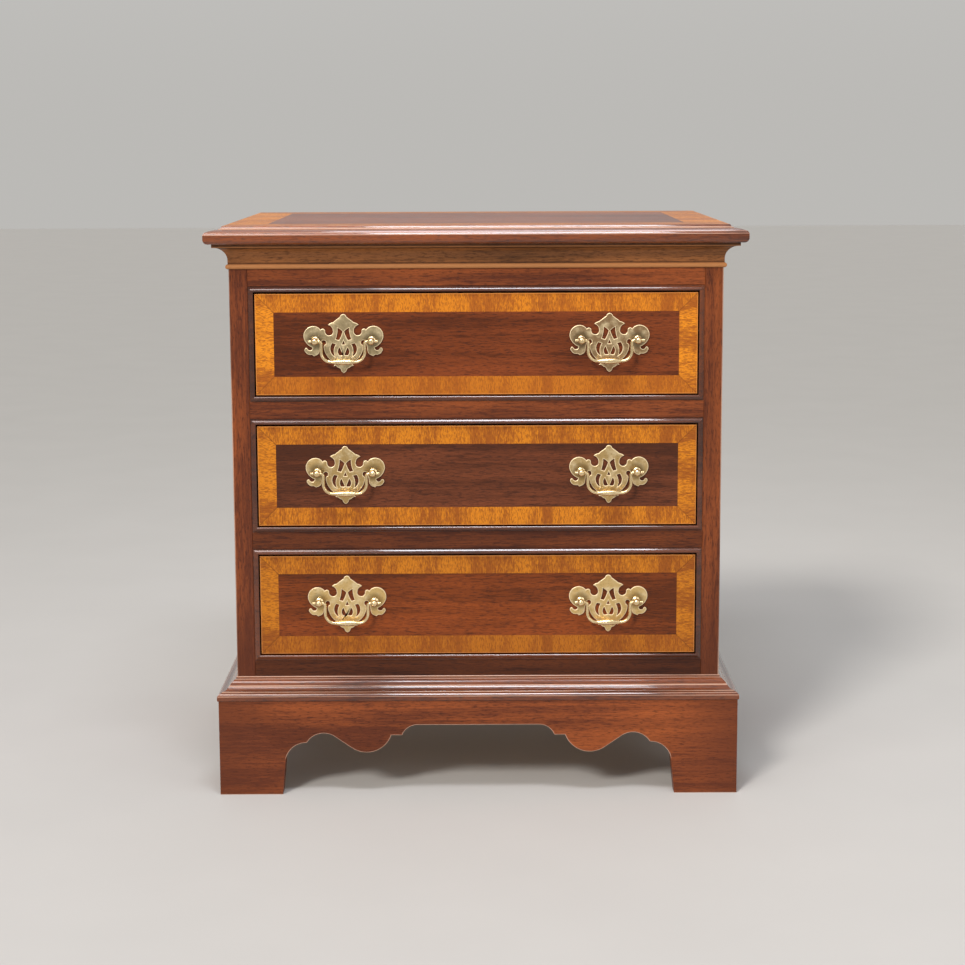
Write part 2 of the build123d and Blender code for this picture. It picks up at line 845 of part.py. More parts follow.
def case_nodes():
    spans = rail_spans()
    nodes = {
        "bottom_rail": rail(spans[0], (1,), False),
        "lower_divider_rail": rail(spans[1], (0, 1), True),
        "upper_divider_rail": rail(spans[2], (0, 1), True),
        "top_rail": rail(spans[3], (0,), False),
    }
    for name, piece in (
        ("stile", right_stile()),
        ("side_panel", right_side_panel()),
        ("bracket", right_bracket()),
    ):
        nodes["right_" + name] = piece
        nodes["left_" + name] = mirror(piece, about=Plane.YZ)
    for name, profile, rear_y in (
        ("top_moulding", top_edge_profile(), top_depth / 2),
        ("cornice", cornice_profile(), back_y),
        ("base_moulding", base_moulding_profile(), back_y),
    ):
        for side, run in zip(("front", "left", "right"), moulding_runs(profile, rear_y)):
            nodes[f"{name}_{side}"] = run
    for name, opening_z in zip(drawer_names, opening_zs):
        nodes[f"{name}_opening_bead"] = Pos(0, 0, opening_z) * opening_bead()
    nodes["drawer_runners"] = at_openings(runner_pair(), opening_zs)
    nodes["drawer_stops"] = at_openings(stop_pair(), opening_zs)
    nodes["dust_panels"] = at_openings(dust_panel(), opening_zs[1:])
    nodes["back_panel"] = back_panel()
    nodes["bottom_board"] = bottom_board()
    nodes["top_cleats"] = top_cleats()
    nodes["top_panel"] = top_panel()
    nodes["top_banding"] = top_banding()
    nodes["front_bracket"] = front_bracket()
    nodes["rear_feet"] = rear_feet()
    nodes["glue_blocks"] = glue_blocks()
    return nodes


def drawer_nodes():
    plates = [Pos(x, face_y, z) * backplate() for x, z in pull_centres()]
    pieces = {
        "front": drawer_front(),
        "banding": front_banding(),
        "sides": drawer_sides(),
        "back": drawer_back(),
        "bottom": drawer_bottom(),
        "backplates": solids_of(*plates),
        "posts": pull_posts(),
    }
    hung = bail()
    nodes = {}
    for name, opening_z in zip(drawer_names, opening_zs):
        for piece_name, piece in pieces.items():
            nodes[f"{name}_drawer_{piece_name}"] = Pos(0, 0, opening_z) * piece
        for side, (x, z) in zip(("left", "right"), pull_centres()):
            nodes[f"{name}_{side}_bail"] = Pos(x, face_y - pivot_standoff, opening_z + z) * hung
    return nodes


def main():
    os.makedirs("parts", exist_ok=True)
    for name, shape in {**case_nodes(), **drawer_nodes()}.items():
        export_step(shape, f"parts/{name}.step")


main()
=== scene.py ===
"""Bedside chest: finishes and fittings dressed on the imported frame."""
import math

import bmesh
import bpy
from bpy.props import FloatProperty, FloatVectorProperty, PointerProperty
from mathutils import Matrix, Vector


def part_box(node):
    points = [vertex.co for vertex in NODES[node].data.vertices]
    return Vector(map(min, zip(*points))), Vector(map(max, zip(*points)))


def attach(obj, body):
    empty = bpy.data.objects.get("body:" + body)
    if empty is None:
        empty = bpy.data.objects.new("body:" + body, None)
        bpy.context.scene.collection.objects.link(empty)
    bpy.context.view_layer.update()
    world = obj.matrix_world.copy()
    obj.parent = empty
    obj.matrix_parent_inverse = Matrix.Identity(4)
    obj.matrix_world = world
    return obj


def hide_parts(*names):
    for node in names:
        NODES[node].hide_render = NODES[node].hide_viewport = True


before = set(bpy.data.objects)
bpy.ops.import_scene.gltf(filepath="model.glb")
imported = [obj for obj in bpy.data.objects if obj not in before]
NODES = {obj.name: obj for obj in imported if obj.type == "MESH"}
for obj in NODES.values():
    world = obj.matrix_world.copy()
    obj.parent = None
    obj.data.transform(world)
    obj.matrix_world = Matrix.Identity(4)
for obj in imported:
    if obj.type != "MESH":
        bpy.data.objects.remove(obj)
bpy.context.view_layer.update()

bl_info = {
    "name": "Bedside Chest",
    "version": (1, 0, 0),
    "blender": (4, 5, 0),
    "location": "View3D > Sidebar > Chest",
    "description": "Wood finishes, brass pulls and a studio for a three-drawer bedside chest",
    "category": "Object",
}

DRAWERS = ("lower", "middle", "upper")
SIDES = ("left", "right")
RUN_GRAINS = {"front": "x", "left": "y", "right": "y"}
AXES = "xyz"
WORN = "worn"

# Brightness of each piece's mahogany, and of a dark ribbon beside a light one
RAIL_SHADES = {"top_rail": 1.24, "upper_divider_rail": 1.15, "lower_divider_rail": 0.68, "bottom_rail": 0.37}
STILE_SHADES = {"left": 1.30, "right": 1.05}
SIDE_PANEL_SHADE = 1.05
BEAD_SHADE = 0.62
MOULDING_SHADES = {"top_moulding": 1.0, "base_moulding": 0.85}
BRACKET_SHADES = {"front": 1.42, "left": 1.08, "right": 1.08}
DARK_RIBBON_SHARE = 0.34

# How far the edges are painted pale, as wear and as painted highlight: at 1.2 all along, and below that in
# patches
EDGE_WEAR = 0.90
UPRIGHT_WEAR = 0.85
SCROLL_WEAR = 1.20

# Roughness of the wood, and weight of the lacquer over it
SATIN_ROUGH, SATIN_COAT = 0.38, 0.15
MOULDING_ROUGH, MOULDING_COAT = 0.22, 1.0
BEAD_ROUGH, BEAD_COAT = 0.20, 1.0

# Brightness of each crossbanding, and the share of gold that its sides, its head and its foot lose to painted
# shade
BAND_SHADES = {"lower": 0.85, "middle": 0.97, "upper": 1.12}
BAND_PAINTED_SHADES = {"lower": (0.15, 0.15, 0.50), "middle": (0.08, 0.14, 0.10), "upper": (0.03, 0.27, 0.60)}
TOP_BAND_PAINTED_SHADE = (0.0, 0.70, 0.70)

# Step between the figures of a crossbanding's side strips and of its head and foot
SIDE_STRIP_STEP = 0.7

# Painted shade: axis along which a piece darkens, the distances from the origin where that begins and ends,
# and its share
# The stiles are painted darker towards the floor and the front bracket towards its ends, where less light
# falls
STILE_PAINTED_SHADE = ("z", 0.29, 0.13)
FRONT_BRACKET_PAINTED_SHADE = ("x", 0.18, 0.31)
PAINTED_SHADE_SHARE = 0.75

# Roughness of the polished brass, and the share of tarnish in its clouds
PLATE_ROUGH, PLATE_TARNISH = 0.30, 0.95
BAIL_ROUGH, BAIL_TARNISH = 0.18, 0.45

# Sizes of rubbed and dirty places, of painted highlights and painted shade, and of tinted places, in metres
CORNER_WIDTH = 0.0011
ASTRAGAL_HEIGHT = 0.0055
FILLET_HEIGHT = 0.0037
ARRIS_WIDTH = 0.0012
CREASE_WIDTH = 0.0018
LINE_BLUR = 0.0004
MITRE_LINE, MITRE_CORE = 0.0009, 0.0002
BAND_RIM, BAND_RIM_CORE = 0.0014, 0.0004
# Dirt and painted shadow round the pull posts
SHADOW_AND_GRIME_REACH, SHADOW_AND_GRIME_CORE = 0.012, 0.004

# Depths of the relief in a surface, in metres
LACQUERED_RELIEF = 0.00005
WORN_TOP_RELIEF = 0.00006
BARE_WOOD_RELIEF = 0.00008
BRASS_RELIEF = 0.00005

# Angles in radians and distances in metres that tell edges and points apart
SHARP = math.radians(25)
FLAT = math.radians(0.5)
MERGE = 0.000002
NEAR = 0.00002
PARALLEL = 0.99

# Half width of the floor in metres, and the rise of a line of sight that meets the backdrop's zenith
FLOOR_REACH = 14.0
BACKDROP_RISE = 0.30

# Lights: places and sizes in metres, lamps in watts, the sun in watts per square metre
SUN = {"place": (-1.4, -2.6, 2.6), "target": (0.0, 0.0, 0.3), "colour": (1.0, 0.97, 0.93)}
SUN_STRENGTH = 1.8
SUN_ANGLE = math.radians(12)
LAMPS = {
    "overhead": {
        "place": (0.08, -1.0, 2.2),
        "target": (0.0, -0.15, 0.3),
        "colour": (0.87, 0.92, 1.0),
        "size": (0.6, 0.38),
        "power": 16.0,
    },
    "left": {
        "place": (-0.62, -1.0, 2.2),
        "target": (0.0, -0.15, 0.3),
        "colour": (1.0, 0.90, 0.88),
        "size": (0.7, 0.38),
        "power": 7.0,
    },
    "rear": {
        "place": (0.1, 0.95, 1.9),
        "target": (0.0, -0.15, 0.62),
        "colour": (0.95, 0.92, 1.0),
        "size": (0.8, 0.4),
        "power": 4.0,
    },
    "fill": {
        "place": (2.1, -1.9, 1.3),
        "target": (0.0, 0.0, 0.33),
        "colour": (1.0, 0.98, 0.96),
        "size": (1.6, 1.4),
        "power": 10.0,
    },
}

# Camera: its place in metres, its turns in radians and its shift in widths of the picture
CAMERA_PLACE = (0.0064, -2.4127, 0.7543)
CAMERA_TILT = 0.145
CAMERA_ROLL = -0.0042
CAMERA_SHIFT = -0.0601
SENSOR_MILLIMETRES = 36.0


def colour_property(name, description, default):
    """Colour that a user may change, as linear red, green and blue."""
    return FloatVectorProperty(
        name=name, description=description, default=default, subtype="COLOR", size=3, min=0.0, max=1.0
    )


def length_property(name, description, default):
    """Length that a user may change, in metres."""
    return FloatProperty(name=name, description=description, default=default, unit="LENGTH", min=0.0)


class ChestWoodSettings(bpy.types.PropertyGroup):
    """Colours and eased edges of the woods."""

    mahogany_light: colour_property("Mahogany light", "Lighter ribbon of the case", (0.285, 0.070, 0.017))
    mahogany_dark: colour_property("Mahogany dark", "Darker ribbon of the case", (0.088, 0.021, 0.008))
    pore: colour_property("Pore", "Open pores of the mahogany", (0.022, 0.007, 0.005))
    # Rubbed edges: wear, and on moulding arrises and stile corners also a painted highlight
    rubbed: colour_property("Rubbed edge", "Mahogany where an edge is rubbed pale", (0.600, 0.360, 0.250))
    # The cornice's own tone, lightened as painted light on the cove under the lip
    cornice: colour_property("Cornice", "Lighter ribbon of the cornice", (0.380, 0.142, 0.043))
    # The astragal's gold is a painted highlight, also used on the cornice fillet's arris
    astragal: colour_property("Astragal", "Golden bead at the foot of the cornice", (0.580, 0.250, 0.090))
    lower_field: colour_property("Lower field", "Lower drawer's lighter ribbon", (0.285, 0.061, 0.010))
    middle_field: colour_property("Middle field", "Middle drawer's lighter ribbon", (0.195, 0.052, 0.019))
    upper_field: colour_property("Upper field", "Upper drawer's lighter ribbon", (0.245, 0.053, 0.012))
    band_light: colour_property("Banding light", "Golden stripe of the crossbanding", (0.700, 0.235, 0.012))
    band_dark: colour_property("Banding dark", "Brown stripe of the crossbanding", (0.330, 0.088, 0.009))
    inner_light: colour_property("Inner wood light", "Pale wood of the drawer boxes", (0.560, 0.370, 0.200))
    inner_dark: colour_property("Inner wood dark", "Grain of the drawer boxes", (0.400, 0.235, 0.110))
    edge_ease: length_property("Eased edge", "Width of the easing on moulding arrises", 0.0003)
    scroll_ease: length_property("Eased scroll", "Width of the easing along the base's scrolls", 0.0007)


class ChestBrassSettings(bpy.types.PropertyGroup):
    """Colours and sizes of the pulls."""

    bright: colour_property("Bright brass", "Handled brass of bails, posts and rims", (0.950, 0.770, 0.470))
    lower_aged: colour_property("Lower aged", "Tarnished brass of the lower plates", (0.730, 0.500, 0.200))
    middle_aged: colour_property("Middle aged", "Tarnished brass of the middle plates", (0.550, 0.368, 0.146))
    upper_aged: colour_property("Upper aged", "Tarnished brass of the upper plates", (0.420, 0.325, 0.180))
    browned: colour_property("Browned", "Tarnished brass of the browner upper plate", (0.340, 0.205, 0.100))
    plate_bevel: length_property("Plate bevel", "Width of the bevel round a plate", 0.0007)
    post_reach: length_property("Post reach", "Half the distance between a pull's posts", 0.03175)
    wire: length_property("Wire", "Radius of a bail's wire", 0.0018)


class ChestStageSettings(bpy.types.PropertyGroup):
    """Floor, light and camera."""

    floor: colour_property("Floor", "Pale floor", (0.620, 0.600, 0.570))
    surround: colour_property("Surround", "Even light of the studio", (0.400, 0.400, 0.400))
    horizon: colour_property("Horizon", "Backdrop at the far edge of the floor", (0.500, 0.490, 0.470))
    zenith: colour_property("Zenith", "Backdrop high above the floor", (0.640, 0.640, 0.630))
    lens: FloatProperty(name="Lens", description="Focal length in millimetres", default=74.18, min=1.0)


class Flow:
    """A shader value that takes part in Python expressions."""

    def __init__(self, nodes, socket):
        self.nodes = nodes
        self.socket = socket

    def maths(self, operation, first, second=0.0):
        """Value of a Math node."""
        return self.nodes.node("ShaderNodeMath", {"operation": operation}, {0: first, 1: second})

    def __add__(self, other):
        return self.maths("ADD", self, other)

    def __sub__(self, other):
        return self.maths("SUBTRACT", self, other)

    def __rsub__(self, other):
        return self.maths("SUBTRACT", other, self)

    def __mul__(self, other):
        return self.maths("MULTIPLY", self, other)

    def __gt__(self, other):
        return self.maths("GREATER_THAN", self, other)

    def __abs__(self):
        return self.maths("ABSOLUTE", self)

    def larger(self, other):
        """The larger of two values."""
        return self.maths("MAXIMUM", self, other)

    __radd__ = __add__
    __rmul__ = __mul__


class Nodes:
    """A node tree that is written as expressions."""

    def __init__(self, tree):
        self.tree = tree

    def feed(self, socket, value):
        """Link a Flow to the socket, or set a value there; a colour gets its alpha."""
        if isinstance(value, Flow):
            self.tree.links.new(value.socket, socket)
        elif hasattr(socket.default_value, "__len__") and len(socket.default_value) > len(value):
            socket.default_value = (*value, 1.0)
        else:
            socket.default_value = value

    def node(self, kind, settings=None, inputs=None, output=0):
        """Add a node with its settings, then the values or links of its sockets."""
        made = self.tree.nodes.new(kind)
        for key, value in (settings or {}).items():
            setattr(made, key, value)
        for key, value in (inputs or {}).items():
            self.feed(made.inputs[key], value)
        return Flow(self, made.outputs[output])

    def step(self, value, start, end):
        """Smooth step of the value from 0 at start to 1 at end."""
        settings = {"interpolation_type": "SMOOTHSTEP"}
        return self.node("ShaderNodeMapRange", settings, {0: value, 1: start, 2: end})

    def blend(self, share, first, second):
        """Colour that goes from the first to the second."""
        return self.node("ShaderNodeMix", {"data_type": "RGBA"}, {0: share, 6: first, 7: second}, output=2)

    def axis(self, name, place):
        """One coordinate of a place."""
        return self.node("ShaderNodeSeparateXYZ", inputs={0: place}, output=AXES.index(name))


class Finish(Nodes):
    """A material that is built from nodes on Object coordinates."""

    def __init__(self, name):
        self.material = bpy.data.materials.new(name)
        self.material.use_nodes = True
        super().__init__(self.material.node_tree)
        self.shader = self.tree.nodes["Principled BSDF"]
        self.place = self.node("ShaderNodeTexCoord", output="Object")

    def noise(self, scale, detail=2.0, rough=0.5, twist=0.0, where=None):
        """Noise whose scale is in features per metre along each axis."""
        place = self.node("ShaderNodeMapping", inputs={"Vector": where or self.place, "Scale": scale})
        sockets = {"Vector": place, "Scale": 1.0, "Detail": detail, "Roughness": rough, "Distortion": twist}
        return self.node("ShaderNodeTexNoise", inputs=sockets)

    def worn(self, corner=None):
        """1 on a piece's eased edges, and on the front corners if their half width and front are given."""
        rim = self.node("ShaderNodeAttribute", {"attribute_name": WORN}, output="Fac")
        if corner:
            half, front = corner
            # Front corners painted pale: wear and a painted highlight along the corner
            outer = abs(self.axis("x", self.place)) > half - CORNER_WIDTH
            rim = rim + outer * (front + CORNER_WIDTH - self.axis("y", self.place) > 0.0)
        return rim

    def surface(self, colour, rough, height=None, relief=0.0, **sockets):
        """Connect the shader; further sockets take a value or a Flow."""
        self.feed(self.shader.inputs["Base Color"], colour)
        self.feed(self.shader.inputs["Roughness"], rough)
        if height:
            bump = self.node("ShaderNodeBump", inputs={"Strength": 1.0, "Distance": relief, "Height": height})
            self.feed(self.shader.inputs["Normal"], bump)
        for key, value in sockets.items():
            self.feed(self.shader.inputs[key.replace("_", " ")], value)
        return self.material


def stretch(grain, run, across):
    """Scale vector with one figure along the grain and another across it."""
    return tuple(run if axis == grain else across for axis in AXES)


def shaded(colour, share):
    """Colour at a share of its brightness."""
    return [share * value for value in colour]


def paled(colour):
    """Colour of a thin rim that is rubbed pale."""
    return [min(1.0, 1.15 * value + 0.08) for value in colour]


def lacquer(coat):
    """Shader sockets of a clear lacquer; coat is its weight."""
    return {"Specular_IOR_Level": 0.16, "Coat_Weight": coat, "Coat_Roughness": 0.07}


def mahogany(
    name,
    wood,
    grain,
    light=None,
    shade=1.0,
    base_rough=SATIN_ROUGH,
    coat=SATIN_COAT,
    wear=EDGE_WEAR,
    corner=None,
    lines=(),
    painted_shade=None,
):
    """Lacquered mahogany: broad tones, ribbons, streaks and short pores along the grain, pale on worn edges.

    Each line of painted highlight and painted shade along a moulding has its lower and upper height,
    its colour and its share. As painted shade, the wood darkens along the axis of painted_shade, from its
    first distance from the origin to its second.
    """
    finish = Finish(name)
    if light:
        dark = shaded(light, DARK_RIBBON_SHARE)
    else:
        light, dark = wood.mahogany_light, wood.mahogany_dark
    light, dark = shaded(light, shade), shaded(dark, shade)
    tone = finish.noise(stretch(grain, run=3.5, across=9))
    ribbon = finish.noise(stretch(grain, run=2.5, across=85), detail=5, rough=0.65, twist=0.4)
    streak = finish.noise(stretch(grain, run=38, across=420), detail=5, rough=0.72, twist=0.3)
    open_grain = finish.noise(stretch(grain, run=130, across=800), rough=0.6)
    pores = finish.step(open_grain, start=0.52, end=0.66)
    figure = finish.step(tone * 0.32 + ribbon * 0.26 + streak * 0.42, start=0.42, end=0.57)
    colour = finish.blend(figure, dark, light)
    colour = finish.blend(finish.step(streak, start=0.48, end=0.62) * 0.50, colour, shaded(dark, 0.80))
    colour = finish.blend(pores * 0.50, colour, wood.pore)
    # Painted shade where the light falls off along an axis
    if painted_shade:
        axis, start, end = painted_shade
        away = finish.step(abs(finish.axis(axis, finish.place)), start, end)
        colour = finish.blend(away * PAINTED_SHADE_SHARE, colour, shaded(dark, 0.80))
    # Edges painted pale in patches: wear, and on moulding arrises and stile corners a painted highlight
    rubbed = finish.worn(corner) * finish.step(ribbon + tone + wear, start=1.65, end=1.95)
    colour = finish.blend(rubbed, colour, wood.rubbed)
    height = finish.axis("z", finish.place)
    # Lines of painted highlight and painted shade along a moulding
    for low, high, tint, share in lines:
        above = finish.step(height, low - LINE_BLUR, low + LINE_BLUR)
        below = finish.step(height, high + LINE_BLUR, high - LINE_BLUR)
        colour = finish.blend(above * below * share, colour, tint)
    rough = base_rough + 0.10 * streak + 0.12 * pores
    return finish.surface(colour, rough, streak * 0.25 - pores, LACQUERED_RELIEF, **lacquer(coat))


def worn_top(name, wood):
    """Mahogany of the top's field, whose lacquer is worn through in a mottle that shows at low angles."""
    finish = Finish(name)
    tone = finish.noise(stretch("x", run=3, across=7))
    ribbon = finish.noise(stretch("x", run=1.7, across=55), detail=5, rough=0.62, twist=0.35)
    streak = finish.noise(stretch("x", run=16, across=300), detail=4, rough=0.7, twist=0.3)
    mottle = finish.noise(stretch("x", run=150, across=70), detail=5, rough=0.72)
    figure = finish.step(tone * 0.32 + ribbon * 0.34 + streak * 0.34, start=0.40, end=0.60)
    colour = finish.blend(figure, wood.mahogany_dark, shaded(wood.mahogany_light, 0.85))
    colour = finish.blend(finish.step(streak, start=0.50, end=0.68) * 0.35, colour, wood.mahogany_dark)
    bare = finish.step(mottle, start=0.62, end=0.43)
    rough = 0.52 + 0.10 * streak
    coat = {"Specular_IOR_Level": 0.25, "Coat_Weight": 0.60 - 0.26 * bare, "Coat_Roughness": 0.24}
    return finish.surface(colour, rough, streak, WORN_TOP_RELIEF, **coat)


def framed_rectangle(node, axes):
    """Centre and half size of a node's box along two axes."""
    low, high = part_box(node)
    spans = [(getattr(low, axis), getattr(high, axis)) for axis in axes]
    centre = [(start + end) / 2 for start, end in spans]
    half = [(end - start) / 2 for start, end in spans]
    return centre, half


def crossbanding(name, wood, node, axes, dull, shade=1.0):
    """Golden veneer of a mitred frame, with the grain across each strip; the axes lie in its face.

    The grain turns from strip to strip, so that some look darker in the light; that is painted shade. The
    sides, the head and the foot each have their share of it in dull.
    """
    finish = Finish(name)
    light, dark = shaded(wood.band_light, shade), shaded(wood.band_dark, shade)
    side_dull, head_dull, foot_dull = dull
    centre, half = framed_rectangle(node, axes)
    across = finish.axis(axes[0], finish.place) - centre[0]
    up = finish.axis(axes[1], finish.place) - centre[1]
    past_side = abs(across) - half[0]
    past_end = abs(up) - half[1]
    on_side = past_side > past_end
    run = across + on_side * (up - across)
    reach = up + on_side * (across - up)
    strip = finish.node("ShaderNodeCombineXYZ", inputs={0: run, 1: reach, 2: on_side * SIDE_STRIP_STEP})
    patch = finish.noise((30, 5, 3), detail=4, rough=0.72, where=strip)
    stripe = finish.noise((520, 100, 3), detail=4, rough=0.75, twist=0.3, where=strip)
    fibre = finish.noise((900, 160, 3), where=strip)
    fleck = finish.step(finish.noise((850, 210, 3), twist=0.3, where=strip), start=0.50, end=0.61)
    # Painted shade on the strips whose grain turns away from the light
    end_dull = foot_dull + (up > 0.0) * (head_dull - foot_dull)
    gold = 1.0 - end_dull - on_side * (side_dull - end_dull)
    figure = finish.step(patch * 0.58 + stripe * 0.42, start=0.43, end=0.57) * gold
    colour = finish.blend(figure, dark, light)
    colour = finish.blend(fleck * 0.60, colour, shaded(dark, 0.70))
    joint = finish.step(abs(past_side - past_end), MITRE_LINE, MITRE_CORE)
    colour = finish.blend(joint * 0.6, colour, shaded(dark, 0.4))
    rim = finish.step(past_side.larger(past_end), -BAND_RIM, -BAND_RIM_CORE)
    colour = finish.blend(rim * 0.7, colour, paled(light))
    rough = 0.36 + 0.12 * fibre + 0.10 * fleck
    return finish.surface(colour, rough, fibre * 0.3 - fleck, LACQUERED_RELIEF, **lacquer(SATIN_COAT))


def inner_wood(name, wood, grain):
    """Bare pale wood of drawer boxes and runners."""
    finish = Finish(name)
    rings = finish.noise(stretch(grain, run=1.2, across=38), detail=4, rough=0.55, twist=0.5)
    fibre = finish.noise(stretch(grain, run=30, across=900))
    colour = finish.blend(finish.step(rings, start=0.38, end=0.64), wood.inner_dark, wood.inner_light)
    colour = finish.blend(finish.step(fibre, start=0.5, end=0.75) * 0.4, colour, wood.inner_dark)
    return finish.surface(colour, 0.58 + 0.14 * fibre, fibre, BARE_WOOD_RELIEF, Specular_IOR_Level=0.3)


def brass(name, bright, deep, base_rough, tarnish, posts=None, deep_right=None):
    """Polished brass with clouds of tarnish in a deep tone, bright on worn edges.

    Round the posts, given as their distance from the chest's middle, their half spread and their height,
    it is dark with dirt and a painted shadow of the posts and bail. The right-hand plate may have a deep tone
    of its own.
    """
    finish = Finish(name)
    on_right = finish.axis("x", finish.place) > 0.0
    cloud = finish.noise((95, 95, 95), detail=4, rough=0.6)
    speck = finish.step(finish.noise((560, 560, 560)), start=0.58, end=0.70)
    rim = finish.worn()
    aged = finish.step(cloud, start=0.20, end=0.60) * tarnish * (1.0 - rim)
    colour = finish.blend(aged, bright, finish.blend(on_right, deep, deep_right or deep))
    colour = finish.blend(speck * aged * 0.5, colour, shaded(deep, 0.5))
    if posts:
        middle, spread, height = posts
        aside = abs(abs(finish.axis("x", finish.place)) - middle) - spread
        above = finish.axis("z", finish.place) - height
        # Dirt and a painted shadow of the post and bail round each post
        shadow_and_grime = finish.step(aside * aside + above * above, SHADOW_AND_GRIME_REACH**2, SHADOW_AND_GRIME_CORE**2) * (1.0 - rim)
        colour = finish.blend(shadow_and_grime * 0.8, colour, shaded(deep, 0.35))
    rough = base_rough + 0.16 * cloud + 0.12 * speck
    # Worn rims: bright brass, and with less metal a painted highlight all round
    return finish.surface(colour, rough, cloud * 0.5 - speck, BRASS_RELIEF, Metallic=1.0 - 0.7 * rim)


def dress(node, material):
    """Give a carried-over CAD node its finish."""
    piece = NODES[node]
    piece.data.materials.clear()
    piece.data.materials.append(material)


def copy_of_node(node):
    """Joined copy of a CAD node's mesh, with its flat faces whole."""
    shape = bmesh.new()
    shape.from_mesh(NODES[node].data)
    bmesh.ops.remove_doubles(shape, verts=shape.verts, dist=MERGE)
    bmesh.ops.dissolve_limit(shape, angle_limit=FLAT, verts=shape.verts, edges=shape.edges)
    return shape


def is_sharp(edge):
    """Whether the edge's two faces meet at an arris."""
    return len(edge.link_faces) == 2 and edge.calc_face_angle() > SHARP


def is_along(edge, axis):
    """Whether the edge runs along that axis."""
    run = edge.verts[0].co - edge.verts[1].co
    return abs(getattr(run, axis)) > PARALLEL * run.length


def on_face(edge, axis, face):
    """Whether the edge lies in a face that is square to the axis."""
    return all(abs(getattr(vert.co, axis) - face) < NEAR for vert in edge.verts)


def on_scroll(edge, axis, face, top):
    """Whether the edge is part of the outline that a board's face shows between its ends, under its top."""
    below = all(vert.co.z < top - NEAR for vert in edge.verts)
    return below and on_face(edge, axis, face) and not is_along(edge, "z")


def ease(shape, keep, width):
    """Bevel the sharp edges that are kept and mark the new faces as worn, to take pale wear and painted
    highlight.
    """
    worn = shape.faces.layers.float.new(WORN)
    made = bmesh.ops.bevel(
        shape,
        geom=[edge for edge in shape.edges if is_sharp(edge) and keep(edge)],
        offset=width,
        offset_type="OFFSET",
        segments=2,
        profile=0.5,
        affect="EDGES",
        material=-1,
        clamp_overlap=False,
    )
    for face in made["faces"]:
        face[worn] = 1.0
    bmesh.ops.remove_doubles(shape, verts=shape.verts, dist=MERGE)


def mesh_from(shape, name):
    """Turn a bmesh into a mesh."""
    mesh = bpy.data.meshes.new(name)
    shape.to_mesh(mesh)
    shape.free()
    return mesh


def finish_piece(shape, name, material, body, nodes):
    """Turn a bmesh into a piece that rides on a body and stands for CAD nodes."""
    mesh = mesh_from(shape, name)
    for polygon in mesh.polygons:
        polygon.use_smooth = True
    mesh.set_sharp_from_angle(angle=SHARP)
    mesh.materials.append(material)
    piece = bpy.data.objects.new(name, mesh)
    bpy.context.scene.collection.objects.link(piece)
    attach(piece, body)
    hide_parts(*nodes)


class CHEST_OT_case(bpy.types.Operator):
    """Finish the face frame, the boards and the top of the case"""

    bl_idname = "chest.finish_case"
    bl_label = "Finish Case"

    def execute(self, context):
        wood = context.scene.chest_wood
        low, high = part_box("right_stile")
        upright = {"wear": UPRIGHT_WEAR, "corner": (high.x, low.y)}
        side_panel = mahogany("mahogany_upright", wood, "z", shade=SIDE_PANEL_SHADE, **upright)
        bead = mahogany("mahogany_bead", wood, "x", shade=BEAD_SHADE, base_rough=BEAD_ROUGH, coat=BEAD_COAT)
        for node, shade in RAIL_SHADES.items():
            dress(node, mahogany(node, wood, "x", shade=shade))
        lines = self.cornice_lines(wood)
        for run, grain in RUN_GRAINS.items():
            node = f"cornice_{run}"
            dress(node, mahogany(node, wood, grain, wood.cornice, lines=lines))
        for side, shade in STILE_SHADES.items():
            node = f"{side}_stile"
            dress(node, mahogany(node, wood, "z", shade=shade, painted_shade=STILE_PAINTED_SHADE, **upright))
            dress(f"{side}_side_panel", side_panel)
        for drawer in DRAWERS:
            dress(f"{drawer}_opening_bead", bead)
        dress("top_panel", worn_top("top_field", wood))
        band = crossbanding("top_crossbanding", wood, "top_banding", "xy", TOP_BAND_PAINTED_SHADE)
        dress("top_banding", band)
        return {"FINISHED"}

    def cornice_lines(self, wood):
        """Painted highlights on the cornice's astragal and fillet arris, with painted shade in the creases
        and under the lip.
        """
        low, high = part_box("cornice_front")
        bead = low.z + ASTRAGAL_HEIGHT
        arris = high.z - FILLET_HEIGHT
        return [
            # Painted highlight on the astragal and on the fillet's arris, painted shade in the creases and
            # under the lip
            (low.z + LINE_BLUR, bead, wood.astragal, 0.70),
            (bead, bead + CREASE_WIDTH, wood.pore, 0.55),
            (arris - CREASE_WIDTH, arris, wood.pore, 0.50),
            (arris, arris + ARRIS_WIDTH, wood.astragal, 0.45),
            (arris + ARRIS_WIDTH, high.z + ARRIS_WIDTH, wood.pore, 0.60),
        ]


